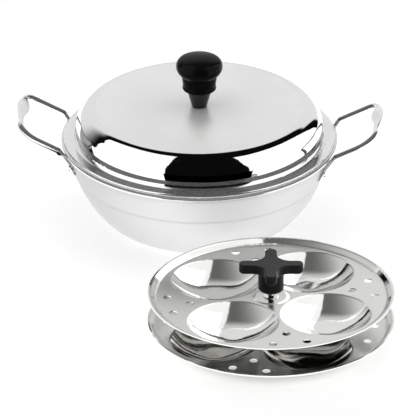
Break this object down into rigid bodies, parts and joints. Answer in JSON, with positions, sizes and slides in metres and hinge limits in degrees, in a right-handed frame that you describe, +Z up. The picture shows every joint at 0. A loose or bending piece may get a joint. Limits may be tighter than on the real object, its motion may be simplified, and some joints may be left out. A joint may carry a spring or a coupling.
{
  "type": "idli steamer",
  "caption": "Round-bottomed steel pot with wire loop handles and a domed knobbed lid, beside a lift-out stand of dished steaming plates on a rod with a star knob.",
  "frame": {"origin": "centre of the pot's flat base, where it stands", "axes": "+Z up the pot's axis, +X towards its right-hand handle, -Y towards the plate stand and the viewer"},
  "size_m": [0.3383, 0.4472, 0.1573],
  "materials": {
    "bowl_steel": "satin",
    "lid_steel": "polished",
    "plate_steel": "mirror",
    "wire_steel": "polished",
    "fitting_steel": "polished",
    "black_bakelite": "semi-gloss",
    "black_plastic": "satin",
    "brass": "machined"
  },
  "bodies": {
    "pot": {"pot_bowl": "bowl_steel", "left_handle": "wire_steel", "right_handle": "wire_steel", "left_handle_rivets": "fitting_steel", "right_handle_rivets": "fitting_steel"},
    "lid": {"lid_shell": "lid_steel", "lid_knob_ferrule": "fitting_steel", "lid_knob": "black_bakelite", "lid_knob_insert": "brass", "lid_knob_screw": "fitting_steel", "lid_knob_washer": "fitting_steel"},
    "stand": {"stand_rod": "fitting_steel", "stand_foot_nut": "fitting_steel", "stand_foot_washer": "fitting_steel", "lower_plate": "plate_steel", "plate_spacer": "fitting_steel"},
    "plate_seat": {"plate_seat_washer": "fitting_steel"},
    "upper_plate": {"upper_plate": "plate_steel", "plate_top_washer": "fitting_steel"},
    "knob_bush": {"star_knob_bush": "brass"},
    "star_knob": {"star_knob": "black_plastic"}
  },
  "joints": [
    {"name": "lid_lift", "type": "slide", "parent": "pot", "child": "lid", "axis": [0, 0, 1], "range_m": [0, 0.15]},
    {"name": "stand_lift", "type": "slide", "parent": "pot", "child": "stand", "axis": [0, 0, 1], "range_m": [0, 0.12]},
    {"name": "plate_lift", "type": "slide", "parent": "stand", "child": "plate_seat", "axis": [0, 0, 1], "range_m": [0, 0.0015]},
    {"name": "plate_turn", "type": "hinge", "parent": "plate_seat", "child": "upper_plate", "pos_m": [0.07419, -0.22174, 0.0396], "axis": [0, 0, 1], "continuous": true},
    {"name": "knob_rise", "type": "slide", "parent": "stand", "child": "knob_bush", "axis": [0, 0, 1], "range_m": [-0.0026, 0.008]},
    {"name": "knob_turn", "type": "hinge", "parent": "knob_bush", "child": "star_knob", "pos_m": [0.07419, -0.22174, 0.0459], "axis": [0, 0, 1], "range_deg": [-1170, 3600]}
  ],
  "couplings": [
    {"joint": "knob_rise", "follows": "knob_turn", "m_per_rad": 0.00012732}
  ]
}
